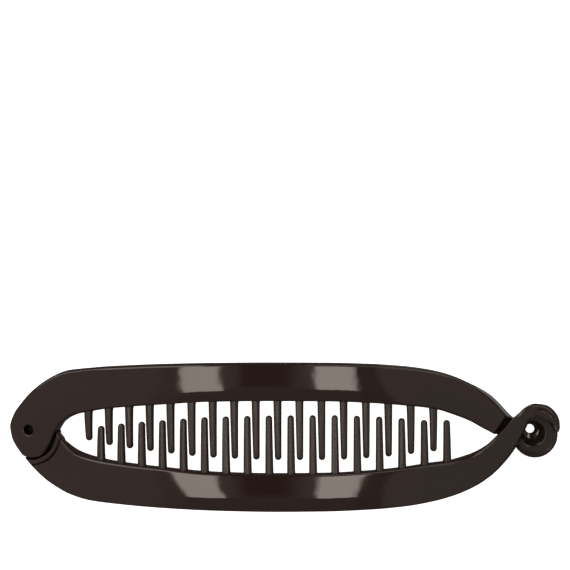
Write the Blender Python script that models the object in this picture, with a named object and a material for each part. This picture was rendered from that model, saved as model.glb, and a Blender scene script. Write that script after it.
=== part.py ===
"""Banana hair clip, closed: two curved comb arms, hinged at one end and hooked at the other.

All sizes below are in millimetres, and MM turns them to metres when a mesh is made.
X runs along the clip from the hinge (-X) to the clasp (+X), Y across it, and Z up.
The clip lies with its bulging face up, on the flat undersides of its hinge and its clasp.
"""
import math
from collections import namedtuple

import bmesh
import bpy
from mathutils import Vector

MM = 0.001

# The face of the closed clip as an arch, seen from the side
ARCH_RADIUS = 160.0
ARCH_TOP = 22.3
ARCH_START_X = -56.0
LANDING_HEIGHT = 6.9
LANDING_BLEND = 1.0
UPRIGHT_START = 49.0
UPRIGHT_LENGTH = 9.0
CENTRE_X = 1.21

# The cross-section of an arm
CROWN = 0.38
FULL_CROWN_HALF_WIDTH = 5.0
EDGE_FILLET = 0.5
FILLET_MIDDLE = 0.29
WALL_DRAFT = 0.12
BACK_CHAMFER = 0.5
FULL_ROUNDING_HALF_WIDTH = 2.4
STEPS_BETWEEN_RIBS = 3

# The hinge
FLOOR_END_X = -63.0
FLOOR_RISE_LENGTH = 3.5
BELOW_FLOOR = 0.6
PIN_X = -67.7
PIN_Y = 0.65
LUG_END_X = -59.5
MIDLINE_BEND_START = -50.0
MIDLINE_BEND_LENGTH = 12.0
TONGUE_TOP = 2.9
LUG_BOTTOM = 3.2
POCKET_RADIUS = 8.25
LEDGE_RADIUS = 10.0
LEDGE_DROP = 0.7
LEDGE_STEP_WIDTH = 0.35
POCKET_DRAWN_IN = 0.065
DRAWN_IN_FROM = -80.0
DRAWN_IN_OVER = 25.0
HOLE_RADIUS = 1.27
HOLE_LEAD_IN_RADIUS = 1.85
HOLE_LEAD_IN_DEPTH = 0.55
PIN_RADIUS = 0.97
PIN_TOP = 4.9
PIN_HEAD_RADIUS = 1.9
PIN_HEAD_HEIGHT = 0.9
PIN_HEAD_CLEARANCE = 0.3
PIN_POINT_CHAMFER = 0.25
PIN_SEGMENTS = 24
POCKET_SEGMENTS = 64

# The teeth
TEETH_PER_ARM = 17
TOOTH_PITCH = 5.925
FIRST_UPPER_TOOTH_X = -50.8
LOWER_TOOTH_OFFSET = 3.3
TOOTH_ROOT_WIDTH = 2.0
TOOTH_TIP_WIDTH = 1.55
TOOTH_RECESS = 1.1
TOOTH_THICKNESS = 2.2
TOOTH_DROOP = 0.5
TOOTH_FRONT_BEVEL = 0.4
TOOTH_BACK_BEVEL = 0.25
TOOTH_ROOT_INSIDE_BAND = 1.6
TIP_GAP_AT_HINGE = 4.3
TIP_GAP_AT_CLASP = 3.2
LAST_TIP_X = 42.5
WIDEST_FRONT_BEVEL = 0.4
WIDEST_BACK_BEVEL = 0.3

# A tooth's round tip: how far back from its end, in tip radii, and the share of full width
TIP_ROUNDING = (
    (1.0, 1.0),
    (0.5, 0.866),
    (0.13, 0.5),
    (0.0, 0.2),
)

# The clasp
RING_CENTRE = (68.9, -0.9)
CAP_BOTTOM = 3.3
CAP_START_X = 64.6
HOOK_CENTRE = (69.9, 1.9)
HOOK_RADIUS = 5.9

ROUND_SEGMENTS = 40
SHARP_EDGE_ANGLE = 35.0
MERGE_DISTANCE = 0.01

# Linear colours and finishes
DARK_BROWN = (0.0144, 0.0097, 0.0080)
NEAR_BLACK = (0.0080, 0.0055, 0.0045)
COMB_ROUGHNESS = 0.16
PIN_ROUGHNESS = 0.3

# Cutters reach this far past the clip
BEYOND = 90.0

# A rib is a line across an arm, from its outer edge to its inner edge, in plan. The face
# lies `lift` above the arch there, and the back lies `depth` below the face. Heights in Y
# are measured from the clip's midline, outwards, so both arms share the band's rows. The foot
# of the inner wall may stand back from its top.
Rib = namedtuple("Rib", "outer_x outer_y inner_x inner_y lift depth inner_foot", defaults=(0.0,))

LUG_RIBS = (
    (-71.3, -4.8, -69.2, -7.25, 0.0, 8.4),
    (-72.8, -2.4, -67.0, -7.75, 0.0, 8.4),
    (-73.4, 0.7, -64.1, -7.1, 0.0, 8.4),
    (-72.4, 3.9, -61.7, -4.2, 0.0, 8.4),
    (-70.1, 7.1, -60.1, -1.0, 0.0, 8.2),
    (-66.4, 10.9, -58.95, 1.0, 0.0, 7.6),
    (-61.3, 14.4, -57.4, 2.8, 0.0, 6.2),
)

TONGUE_RIBS = (
    (-71.5, -4.7, -69.4, -6.6, 0.0, 8.4),
    (-72.9, -2.4, -67.5, -6.75, 0.0, 8.4),
    (-73.4, 0.7, -64.8, -6.0, 0.0, 8.4),
    (-72.4, 3.9, -62.3, -4.2, 0.0, 8.4, 0.5),
    (-69.85, 6.9, -60.6, -0.9, 0.0, 8.2, 0.9),
    (-66.2, 10.7, -58.8, 0.95, 0.0, 7.6, 1.1),
    (-61.3, 14.4, -57.15, 2.55, 0.0, 5.6, 0.35),
)

BAND_RIBS = (
    (-55.6, 16.8, -54.3, 4.95, 0.0, 5.7),
    (-49.5, 17.95, -49.0, 6.4, 0.0, 5.3),
    (-42.0, 18.55, -42.0, 7.35, 0.0, 5.2),
    (-30.0, 19.2, -30.0, 8.4, 0.0, 5.2),
    (-15.0, 19.65, -15.0, 9.4, 0.0, 5.2),
    (0.0, 19.8, 0.0, 9.65, 0.0, 5.2),
    (15.0, 19.7, 15.0, 9.55, 0.0, 5.2),
    (27.0, 19.3, 27.0, 9.0, 0.0, 5.2),
    (36.0, 18.6, 36.0, 8.2, 0.0, 5.2),
    (43.5, 17.4, 43.2, 7.25, 0.0, 5.2),
)

# The upper arm steps down, passes under the lower one, and ends in the clasp's ring.
UPPER_END_RIBS = (
    (49.5, 15.6, 48.4, 5.7, 0.0, 5.3),
    (54.3, 12.8, 52.6, 3.8, 0.0, 5.8),
    (58.3, 9.5, 56.0, 1.65, 0.0, 6.5),
    (62.1, 5.05, 58.6, 0.05, -0.25, 7.0),
    (62.85, 4.2, 59.15, -0.45, -4.4, 3.5),
    (64.6, 2.8, 61.3, -2.3, -5.1, 3.3),
    (66.9, 2.2, 63.9, -3.8, -5.2, 3.2),
)

# The lower arm rises over it, and ends in the clasp's hook.
LOWER_END_RIBS = (
    (49.5, 15.75, 48.2, 6.7, 0.0, 5.2),
    (54.4, 13.5, 52.8, 5.25, 0.2, 4.9),
    (58.2, 10.8, 56.2, 3.2, 0.5, 4.4),
    (61.2, 7.8, 59.1, 0.6, 0.6, 4.0),
    (63.5, 4.9, 61.3, -1.6, 0.4, 4.0),
    (65.2, 2.0, 63.3, -3.9, 0.1, 4.1),
    (66.8, -1.2, 65.0, -5.35, 0.0, 4.2),
)

# The hook turns clockwise about its own centre: the angle of a rib and its inner radius.
HookRib = namedtuple("HookRib", "angle inner_radius depth")
HOOK_RIBS = (
    (124.0, 2.6, 4.5),
    (98.0, 2.05, 4.7),
    (68.0, 1.95, 4.7),
    (42.0, 2.05, 4.7),
    (24.0, 2.9, 4.7),
    (9.0, 4.2, 4.7),
    (-5.0, 4.75, 4.7),
    (-17.0, 5.35, 4.7),
)

# The clasp's ring, from its underside round the outside and down into the dished hole.
# The slip moves a circle from the ring's centre towards the hole's centre.
RingCircle = namedtuple("RingCircle", "radius height slip")
RING_CIRCLES = (
    (5.55, 0.0, 0.0),
    (6.0, 0.45, 0.0),
    (6.0, 2.1, 0.0),
    (5.74, 2.74, 0.0),
    (5.1, 3.0, 0.0),
    (3.65, 3.0, 0.36),
    (3.3, 2.72, 0.4),
    (2.3, 1.25, 0.65),
    (1.65, 0.95, 0.9),
    (1.2, 0.8, 1.0),
    (1.2, 0.0, 1.0),
)
HOLE_SLIP = (-1.45, 1.65)


def ease(t):
    """Rises smoothly from 0 to 1 as t does, and stays there."""
    t = min(max(t, 0.0), 1.0)
    return t * t * (3 - 2 * t)


def face_height(x):
    """Height of the face: an arch that runs on straight to the hinge, and level over the clasp."""
    turn_x = max(x, ARCH_START_X)
    rise = math.sqrt(ARCH_RADIUS ** 2 - turn_x ** 2)
    arch = ARCH_TOP - ARCH_RADIUS + rise - (x - turn_x) * turn_x / rise
    if x < 0:
        return arch
    above = (arch - LANDING_HEIGHT) / LANDING_BLEND
    return LANDING_HEIGHT + LANDING_BLEND * math.log1p(math.exp(above))


def on_arch(x, y, n):
    """A point n above the face at x, y in plan, square to the arch but upright at the ends."""
    step = 0.01
    slope = (face_height(x + step) - face_height(x - step)) / (2 * step)
    lean = slope * (1 - ease((abs(x) - UPRIGHT_START) / UPRIGHT_LENGTH))
    length = math.hypot(lean, 1.0)
    return (x - n * lean / length, y, face_height(x) + n / length)


def midline(x):
    """The clip's midline in plan, which bends a little to meet the hinge pin."""
    return PIN_Y * ease((MIDLINE_BEND_START - x) / MIDLINE_BEND_LENGTH)


def smooth_column(knots, values, t):
    """A smooth curve through the values at the knots, with no overshoot between them."""
    last = len(knots) - 2
    i = max(k for k in range(last + 1) if knots[k] <= t or k == 0)

    def chord(k):
        return (values[k + 1] - values[k]) / (knots[k + 1] - knots[k])

    def slope(k):
        if k == 0:
            return chord(0)
        if k == last + 1:
            return chord(last)
        before, after = chord(k - 1), chord(k)
        if before * after <= 0:
            return 0.0
        return 2 * before * after / (before + after)

    span = knots[i + 1] - knots[i]
    u = (t - knots[i]) / span
    a, b = values[i], values[i + 1]
    return (a * (1 + 2 * u) * (1 - u) ** 2 + b * u * u * (3 - 2 * u)
            + span * u * (1 - u) * (slope(i) * (1 - u) - slope(i + 1) * u))


def hook_ribs():
    """The hook's ribs in plan, as rows of the same columns as an arm's."""
    rows = []
    centre = Vector(HOOK_CENTRE)
    for hook_rib in map(HookRib._make, HOOK_RIBS):
        turn = math.radians(hook_rib.angle)
        ray = Vector((math.cos(turn), math.sin(turn)))
        inside = centre + ray * hook_rib.inner_radius
        outside = centre + ray * HOOK_RADIUS
        rows.append((inside.x, -inside.y, outside.x, -outside.y, 0.0, hook_rib.depth))
    return tuple(rows)


def depth_to_floor(rib):
    """The depth of the lower arm, whose back runs down to the floor towards the hinge."""
    middle_x = (rib.outer_x + rib.inner_x) / 2
    down = ease((FLOOR_END_X + FLOOR_RISE_LENGTH - middle_x) / FLOOR_RISE_LENGTH)
    return rib.depth + down * (face_height(middle_x) + BELOW_FLOOR - rib.depth)


def arm_stations(rows, side):
    """Closely spaced ribs of an arm, smooth through the rows, with Y put on its own side."""
    ribs = [Rib(*row) for row in rows]
    knots = [0.0]
    for before, after in zip(ribs, ribs[1:]):
        along_x = (after.outer_x + after.inner_x - before.outer_x - before.inner_x) / 2
        along_y = (after.outer_y + after.inner_y - before.outer_y - before.inner_y) / 2
        knots.append(knots[-1] + math.hypot(along_x, along_y))
    places = [knots[0]]
    for start, end in zip(knots, knots[1:]):
        for step in range(1, STEPS_BETWEEN_RIBS + 1):
            places.append(start + (end - start) * step / STEPS_BETWEEN_RIBS)
    stations = []
    for place_along in places:
        rib = Rib._make(smooth_column(knots, column, place_along) for column in zip(*ribs))
        rib = rib._replace(
            outer_y=midline(rib.outer_x) + side * rib.outer_y,
            inner_y=midline(rib.inner_x) + side * rib.inner_y,
        )
        if side < 0:
            rib = rib._replace(depth=depth_to_floor(rib))
        stations.append(rib)
    return stations


def band_section(rib):
    """The closed cross-section on one rib: crowned face, filleted edges, drafted walls, flat back."""
    outer = Vector((rib.outer_x, rib.outer_y))
    inner = Vector((rib.inner_x, rib.inner_y))
    middle = (outer + inner) / 2
    half = (outer - inner).length / 2
    across = (outer - inner).normalized()
    rounding = min(1.0, half / FULL_ROUNDING_HALF_WIDTH)
    fillet = EDGE_FILLET * rounding
    crown = CROWN * min(1.0, half / FULL_CROWN_HALF_WIDTH)
    chamfer = BACK_CHAMFER * rounding
    wall = half - WALL_DRAFT * rounding
    top = (
        (0.5 * (wall - fillet), -0.25 * crown),
        (wall - fillet, -crown),
        (wall - FILLET_MIDDLE * fillet, -crown - FILLET_MIDDLE * fillet),
        (wall, -crown - fillet),
    )

    def side(foot):
        """One side of the section, down to a foot this far from the middle."""
        return list(top) + [(foot, chamfer - rib.depth), (foot - chamfer, -rib.depth)]

    profile = [(0.0, 0.0)] + side(half)
    profile += [(-offset, n) for offset, n in reversed(side(half - rib.inner_foot))]
    points = []
    for offset, n in profile:
        spot = middle + across * offset
        points.append(on_arch(spot.x, spot.y, n + rib.lift))
    return points


def loft(name, sections, ring=False):
    """A closed solid through sections with equal numbers of points."""
    shape = bmesh.new()
    loops = [[shape.verts.new(Vector(point) * MM) for point in section] for section in sections]
    count = len(loops[0])
    pairs = list(zip(loops, loops[1:]))
    if ring:
        pairs.append((loops[-1], loops[0]))
    for a, b in pairs:
        for i in range(count):
            j = (i + 1) % count
            shape.faces.new((a[i], a[j], b[j], b[i]))
    if not ring:
        shape.faces.new(loops[0])
        shape.faces.new(loops[-1])
    bmesh.ops.recalc_face_normals(shape, faces=shape.faces)
    mesh = bpy.data.meshes.new(name)
    shape.to_mesh(mesh)
    shape.free()
    piece = bpy.data.objects.new(name, mesh)
    bpy.context.scene.collection.objects.link(piece)
    return piece


def circle(centre, radius, height, segments=ROUND_SEGMENTS):
    """The points of a level circle."""
    turns = (2 * math.pi * i / segments for i in range(segments))
    return [(centre[0] + radius * math.cos(a), centre[1] + radius * math.sin(a), height) for a in turns]


def turned(name, centre, rows, segments=ROUND_SEGMENTS):
    """A solid turned about an upright axis, from rows of radius and height."""
    return loft(name, [circle(centre, radius, height, segments) for radius, height in rows])


def block_below(name, height, start_x, end_x):
    """A cutter for all that lies below a height, between two places along the clip."""
    corners = ((start_x, -BEYOND), (end_x, -BEYOND), (end_x, BEYOND), (start_x, BEYOND))
    return loft(name, [[(x, y, z) for x, y in corners] for z in (-BEYOND, height)])


def combine(target, tool, operation):
    """Joins the tool to the target, or cuts the target with it, and removes the tool."""
    modifier = target.modifiers.new(operation.lower(), "BOOLEAN")
    modifier.operation = operation
    modifier.solver = "EXACT"
    modifier.object = tool
    bpy.context.view_layer.update()
    evaluated = target.evaluated_get(bpy.context.evaluated_depsgraph_get())
    result = bpy.data.meshes.new_from_object(evaluated)
    target.modifiers.remove(modifier)
    previous = target.data
    target.data = result
    bpy.data.meshes.remove(previous)
    tool_mesh = tool.data
    bpy.data.objects.remove(tool)
    bpy.data.meshes.remove(tool_mesh)


def inner_edge(stations, x):
    """Y of an arm's inner edge at a place along the clip."""
    for before, after in zip(stations, stations[1:]):
        if before.inner_x <= x <= after.inner_x:
            part = (x - before.inner_x) / (after.inner_x - before.inner_x)
            return before.inner_y + part * (after.inner_y - before.inner_y)
    raise ValueError("no inner edge at this place")


def tooth_section(x, y, width, droop):
    """The bevelled cross-section of a tooth, in the plane across it."""
    top = -TOOTH_RECESS - droop
    back = top - TOOTH_THICKNESS
    front_bevel = min(TOOTH_FRONT_BEVEL, WIDEST_FRONT_BEVEL * width)
    back_bevel = min(TOOTH_BACK_BEVEL, WIDEST_BACK_BEVEL * width)
    half = width / 2
    profile = (
        (half - front_bevel, top),
        (half, top - front_bevel),
        (half, back + back_bevel),
        (half - back_bevel, back),
    )
    points = list(profile) + [(-offset, n) for offset, n in reversed(profile)]
    return [on_arch(x + offset, y, n) for offset, n in points]


def tooth(x, side, own_edge, far_edge, tip_gap):
    """One comb tooth, from inside its band to a round tip short of the far band."""
    root = own_edge + side * TOOTH_ROOT_INSIDE_BAND
    tip = far_edge + side * tip_gap
    length = abs(tip - own_edge)
    radius = TOOTH_TIP_WIDTH / 2
    rows = [(root, 1.0), (own_edge, 1.0), ((own_edge + tip) / 2, 1.0)]
    rows += [(tip + side * radii * radius, share) for radii, share in TIP_ROUNDING]
    sections = []
    for y, share in rows:
        reach = max((own_edge - y) * side / length, 0.0)
        width = TOOTH_ROOT_WIDTH + (TOOTH_TIP_WIDTH - TOOTH_ROOT_WIDTH) * reach
        sections.append(tooth_section(x, y, width * share, TOOTH_DROOP * reach * reach))
    return loft("tooth", sections)


def row_of_teeth(side, own, far):
    """The teeth of one arm, as separate solids in one object."""
    teeth = []
    first = FIRST_UPPER_TOOTH_X if side > 0 else FIRST_UPPER_TOOTH_X + LOWER_TOOTH_OFFSET
    for k in range(TEETH_PER_ARM):
        x = first + k * TOOTH_PITCH
        tip_gap = TIP_GAP_AT_HINGE + (TIP_GAP_AT_CLASP - TIP_GAP_AT_HINGE) * k / (TEETH_PER_ARM - 1)
        far_edge = inner_edge(far, min(x, LAST_TIP_X))
        teeth.append(tooth(x, side, inner_edge(own, x), far_edge, tip_gap))
    shape = bmesh.new()
    for piece in teeth:
        shape.from_mesh(piece.data)
        mesh = piece.data
        bpy.data.objects.remove(piece)
        bpy.data.meshes.remove(mesh)
    mesh = bpy.data.meshes.new("teeth")
    shape.to_mesh(mesh)
    shape.free()
    comb = bpy.data.objects.new("teeth", mesh)
    bpy.context.scene.collection.objects.link(comb)
    return comb


def clasp_ring():
    """The upper arm's end: a flat ring with a dished hole, off centre."""
    circles = []
    for row in map(RingCircle._make, RING_CIRCLES):
        centre = Vector(RING_CENTRE) + Vector(HOLE_SLIP) * row.slip
        circles.append(circle(centre, row.radius, row.height))
    return loft("ring", circles, ring=True)


def pin_hole():
    """The cutter for the lug's pin hole, with a small lead-in at the face."""
    face = face_height(PIN_X)
    rows = (
        (HOLE_RADIUS, LUG_BOTTOM - 1.0),
        (HOLE_RADIUS, face - HOLE_LEAD_IN_DEPTH),
        (HOLE_LEAD_IN_RADIUS, face),
        (HOLE_LEAD_IN_RADIUS, face + 1.0),
    )
    return turned("pin_hole", (PIN_X, PIN_Y), rows, PIN_SEGMENTS)


def pocket_loop(radius, height):
    """A loop about the pin, drawn in towards it where the pocket meets the arm's outer edge."""
    points = []
    for x, y, _ in circle((0.0, 0.0), radius, 0.0, POCKET_SEGMENTS):
        turn = math.degrees(math.atan2(y, x))
        share = 1 - POCKET_DRAWN_IN * ease((DRAWN_IN_FROM - turn) / DRAWN_IN_OVER)
        points.append((PIN_X + x * share, PIN_Y + y * share, height(PIN_X + x * share)))
    return points


def lug_pocket():
    """The cutter for the pocket over the tongue, which the lug turns in."""
    return loft("pocket", [
        pocket_loop(POCKET_RADIUS, lambda x: TONGUE_TOP),
        pocket_loop(POCKET_RADIUS, lambda x: ARCH_TOP),
    ])


def pocket_ledge():
    """The cutter for the ledge round the pocket: below the face, along it, with a sloping step."""
    return loft("ledge", [
        pocket_loop(LEDGE_RADIUS - LEDGE_STEP_WIDTH, lambda x: face_height(x) - LEDGE_DROP),
        pocket_loop(LEDGE_RADIUS + LEDGE_STEP_WIDTH, lambda x: face_height(x) + LEDGE_DROP),
        pocket_loop(LEDGE_RADIUS + LEDGE_STEP_WIDTH, lambda x: ARCH_TOP),
    ])


def tongue_hole():
    """The cutter for the tongue's stepped pin hole."""
    pocket_radius = PIN_HEAD_RADIUS + PIN_HEAD_CLEARANCE
    pocket_height = PIN_HEAD_HEIGHT + PIN_HEAD_CLEARANCE
    rows = (
        (pocket_radius, -1.0),
        (pocket_radius, pocket_height),
        (HOLE_RADIUS, pocket_height),
        (HOLE_RADIUS, TONGUE_TOP + 1.0),
    )
    return turned("tongue_hole", (PIN_X, PIN_Y), rows, PIN_SEGMENTS)


def upper_comb(own, far):
    """The upper arm: lug, band, teeth and clasp ring, moulded as one."""
    arm = loft("upper_comb", [band_section(rib) for rib in own])
    combine(arm, clasp_ring(), "UNION")
    combine(arm, row_of_teeth(1, own, far), "UNION")
    combine(arm, block_below("under_lug", LUG_BOTTOM, -BEYOND, LUG_END_X), "DIFFERENCE")
    combine(arm, block_below("under_ring", 0.0, 0.0, BEYOND), "DIFFERENCE")
    combine(arm, pin_hole(), "DIFFERENCE")
    return arm


def lower_comb(own, far):
    """The lower arm: tongue, band, teeth and clasp hook, moulded as one."""
    arm = loft("lower_comb", [band_section(rib) for rib in own])
    combine(arm, row_of_teeth(-1, own, far), "UNION")
    combine(arm, block_below("under_tongue", 0.0, -BEYOND, 0.0), "DIFFERENCE")
    combine(arm, block_below("under_cap", CAP_BOTTOM, CAP_START_X, BEYOND), "DIFFERENCE")
    combine(arm, pocket_ledge(), "DIFFERENCE")
    combine(arm, lug_pocket(), "DIFFERENCE")
    combine(arm, tongue_hole(), "DIFFERENCE")
    return arm


def hinge_pin():
    """The pin, with its head let into the tongue's underside."""
    rows = (
        (PIN_HEAD_RADIUS - PIN_POINT_CHAMFER, 0.0),
        (PIN_HEAD_RADIUS, PIN_POINT_CHAMFER),
        (PIN_HEAD_RADIUS, PIN_HEAD_HEIGHT),
        (PIN_RADIUS, PIN_HEAD_HEIGHT),
        (PIN_RADIUS, PIN_TOP - PIN_POINT_CHAMFER),
        (PIN_RADIUS - PIN_POINT_CHAMFER, PIN_TOP),
    )
    return turned("hinge_pin", (PIN_X, PIN_Y), rows, PIN_SEGMENTS)


def place(piece, pivot_x, pivot_y):
    """Puts the object's origin on an upright axis and centres the clip on the world's origin."""
    shape = bmesh.new()
    shape.from_mesh(piece.data)
    bmesh.ops.translate(shape, verts=shape.verts, vec=Vector((-pivot_x, -pivot_y, 0.0)) * MM)
    bmesh.ops.remove_doubles(shape, verts=shape.verts, dist=MERGE_DISTANCE * MM)
    bmesh.ops.dissolve_degenerate(shape, edges=shape.edges, dist=MERGE_DISTANCE * MM)
    bmesh.ops.triangulate(shape, faces=shape.faces)
    shape.to_mesh(piece.data)
    shape.free()
    piece.location = Vector((pivot_x - CENTRE_X, pivot_y, 0.0)) * MM
    piece.data.shade_smooth()
    piece.data.set_sharp_from_angle(angle=math.radians(SHARP_EDGE_ANGLE))


def moulded_plastic(name, colour, roughness):
    """A glossy moulded plastic."""
    material = bpy.data.materials.new(name)
    material.use_nodes = True
    shader = material.node_tree.nodes["Principled BSDF"]
    shader.inputs["Base Color"].default_value = (*colour, 1.0)
    shader.inputs["Roughness"].default_value = roughness
    shader.inputs["Metallic"].default_value = 0.0
    return material


def build():
    for item in list(bpy.data.objects):
        bpy.data.objects.remove(item)
    upper_stations = arm_stations(LUG_RIBS + BAND_RIBS + UPPER_END_RIBS, 1)
    lower_stations = arm_stations(TONGUE_RIBS + BAND_RIBS + LOWER_END_RIBS + hook_ribs(), -1)
    upper = upper_comb(upper_stations, lower_stations)
    lower = lower_comb(lower_stations, upper_stations)
    pin = hinge_pin()
    place(upper, PIN_X, PIN_Y)
    place(lower, CENTRE_X, 0.0)
    place(pin, PIN_X, PIN_Y)
    upper.data.materials.append(moulded_plastic("upper_comb_plastic", DARK_BROWN, COMB_ROUGHNESS))
    lower.data.materials.append(moulded_plastic("lower_comb_plastic", DARK_BROWN, COMB_ROUGHNESS))
    pin.data.materials.append(moulded_plastic("hinge_pin_plastic", NEAR_BLACK, PIN_ROUGHNESS))


build()
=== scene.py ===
"""The looks of a banana hair clip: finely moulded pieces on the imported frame, light and camera.

Sizes are in millimetres unless a comment says otherwise, and MM turns them to metres. X runs
along the clip from the hinge to the clasp, Y across it, and Z up. The clip lies with its face
up.
"""

import math
from collections import namedtuple

import bmesh
import bpy
import numpy as np
from mathutils import Matrix, Vector


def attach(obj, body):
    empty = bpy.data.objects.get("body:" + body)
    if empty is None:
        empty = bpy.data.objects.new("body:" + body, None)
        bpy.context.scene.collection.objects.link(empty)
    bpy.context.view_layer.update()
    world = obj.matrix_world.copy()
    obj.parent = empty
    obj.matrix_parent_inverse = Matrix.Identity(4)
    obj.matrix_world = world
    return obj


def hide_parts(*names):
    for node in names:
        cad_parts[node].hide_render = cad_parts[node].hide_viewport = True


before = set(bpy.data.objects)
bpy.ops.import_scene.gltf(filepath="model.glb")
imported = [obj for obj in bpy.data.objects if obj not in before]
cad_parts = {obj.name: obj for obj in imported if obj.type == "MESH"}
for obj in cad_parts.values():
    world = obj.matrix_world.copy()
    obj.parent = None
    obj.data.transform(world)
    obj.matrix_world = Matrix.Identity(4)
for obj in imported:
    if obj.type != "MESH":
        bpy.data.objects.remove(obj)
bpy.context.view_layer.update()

MM = 0.001

# The face of the closed clip as an arch, seen from the side
ARCH_RADIUS = 160.0
ARCH_TOP = 22.3
ARCH_START_X = -56.0
LANDING_HEIGHT = 6.9
LANDING_BLEND = 1.0
UPRIGHT_START = 49.0
UPRIGHT_LENGTH = 9.0
CENTRE_X = 1.21

# The cross-section of an arm: a crowned face, rounded edges, drafted walls and a flat back
CROWN = 0.38
FULL_CROWN_HALF_WIDTH = 5.0
EDGE_FILLET = 0.8
WALL_DRAFT = 0.12
BACK_FILLET = 0.5
FULL_ROUNDING_HALF_WIDTH = 2.4
END_FILLET = 0.35

# How finely an arm is meshed. A section starts at the face's middle and runs down both sides.
FACE_STEPS = 9
EDGE_STEPS = 7
WALL_STEPS = 4
BACK_FILLET_STEPS = 3
BACK_STEPS = 3
END_STEPS = 4
SECTION_POINTS = 1 + 2 * (FACE_STEPS + EDGE_STEPS + WALL_STEPS + BACK_FILLET_STEPS + BACK_STEPS)
ROW_SPACING = 0.9
ROW_SPACING_ROUND_ENDS = 0.4
EDGE_SAMPLES = 400

# The hinge
FLOOR_END_X = -63.0
FLOOR_RISE_LENGTH = 3.5
BELOW_FLOOR = 0.6
PIN_X = -67.7
PIN_Y = 0.65
PIN_PLACE = (PIN_X, PIN_Y)
MIDLINE_BEND_START = -50.0
MIDLINE_BEND_LENGTH = 12.0
TONGUE_TOP = 2.9
LUG_BOTTOM = 3.2
POCKET_RADIUS = 8.25
POCKET_FLOOR_FILLET = 0.4
POCKET_RIM_FILLET = 0.15
LEDGE_RADIUS = 10.0
LEDGE_DROP = 0.7
LEDGE_STEP_WIDTH = 0.45
LEDGE_GROOVE_WIDTH = 0.3
LEDGE_GROOVE_DEPTH = 0.45
POCKET_DRAWN_IN = 0.065
DRAWN_IN_FROM = -80.0
DRAWN_IN_OVER = 25.0
POCKET_SAMPLES = 500
RIB_AT_PIN = 3
TONGUE_ROWS = 36
FLOOR_FILLET_ROWS = 4
WALL_ROWS = 5
RIM_ROWS = 3
LEDGE_ROWS = 4
GROOVE_ROWS = 4
STEP_ROWS = 6
BAND_START_ROWS = 24
HOLE_RADIUS = 1.27
HOLE_LEAD_IN = 0.62
HOLE_LEAD_IN_STEPS = 8
CUT_PAST = 1.0
LUG_CUT_PAST = 3.0
PIN_RADIUS = 0.97
PIN_TOP = 4.9
PIN_AXIS_RADIUS = 0.01
PIN_HEAD_RADIUS = 1.9
PIN_HEAD_HEIGHT = 0.9
PIN_HEAD_CLEARANCE = 0.3
PIN_HEAD_FILLET = 0.25
PIN_HEAD_BACK_FILLET = 0.1
PIN_SHOULDER_FILLET = 0.05
PIN_POINT_FILLET = 0.3

# The teeth. Those of the lower arm stand between those of the upper one.
TEETH_PER_ARM = 17
TOOTH_PITCH = 5.905
FIRST_UPPER_TOOTH_X = -50.8
LOWER_TOOTH_OFFSET = 3.5
TOOTH_ROOT_WIDTH = 2.15
TOOTH_TIP_WIDTH = 1.7
TOOTH_RECESS = 1.1
TOOTH_THICKNESS = 2.1
TOOTH_DROOP = 0.5
TOOTH_EDGE_RADIUS = 0.75
TOOTH_ROOT_INSIDE_BAND = 1.6
TOOTH_FLARE = 0.1
TOOTH_FLARE_LENGTH = 0.2
TIP_GAP_AT_HINGE = 4.3
TIP_GAP_AT_CLASP = 3.2
LAST_TIP_X = 42.5
FLARE_STEPS = 6
SHAFT_STEPS = 6
DOME_STEPS = 7
DOME_REACH = 0.998
PATH_COLUMNS = ("from_root", "from_tip", "lean")
TOOTH_CORNER_STEPS = 5

# The clasp
RING_CENTRE = (68.9, -0.9)
CAP_BOTTOM = 3.3
HOOK_CENTRE = (69.9, 1.9)
HOOK_RADIUS = 5.9

# All meshes
ROUND_SEGMENTS = 96
CORNER_STEPS = 6
SHARP_EDGE_ANGLE = 35.0
MERGE_DISTANCE = 0.002

# A rib is a line across an arm, from its outer edge to its inner edge, in plan. The face
# lies `lift` above the arch there, and the back lies `depth` below the face. Heights in Y
# are measured from the clip's midline, outwards, so both arms share the band's rows. The foot
# of the inner wall may stand back from its top.
Rib = namedtuple("Rib", "outer_x outer_y inner_x inner_y lift depth inner_foot", defaults=(0.0,))

LUG_RIBS = (
    (-71.3, -4.8, -69.2, -7.25, 0.0, 8.4),
    (-72.8, -2.4, -67.0, -7.75, 0.0, 8.4),
    (-73.4, 0.7, -64.1, -7.1, 0.0, 8.4),
    (-72.4, 3.9, -61.7, -4.2, 0.0, 8.4),
    (-70.1, 7.1, -60.1, -1.0, 0.0, 8.2),
    (-66.4, 10.9, -58.95, 1.0, 0.0, 7.6),
    (-61.3, 14.4, -57.4, 2.8, 0.0, 6.2),
)

TONGUE_RIBS = (
    (-71.5, -4.7, -69.4, -6.6, 0.0, 8.4),
    (-72.9, -2.4, -67.5, -6.75, 0.0, 8.4),
    (-73.4, 0.7, -64.8, -6.0, 0.0, 8.4),
    (-72.4, 3.9, -62.3, -4.2, 0.0, 8.4, 0.5),
    (-69.85, 6.9, -60.6, -0.9, 0.0, 8.2, 0.9),
    (-66.2, 10.7, -58.8, 0.95, 0.0, 7.6, 1.1),
    (-61.3, 14.4, -57.15, 2.55, 0.0, 5.6, 0.35),
)

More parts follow.
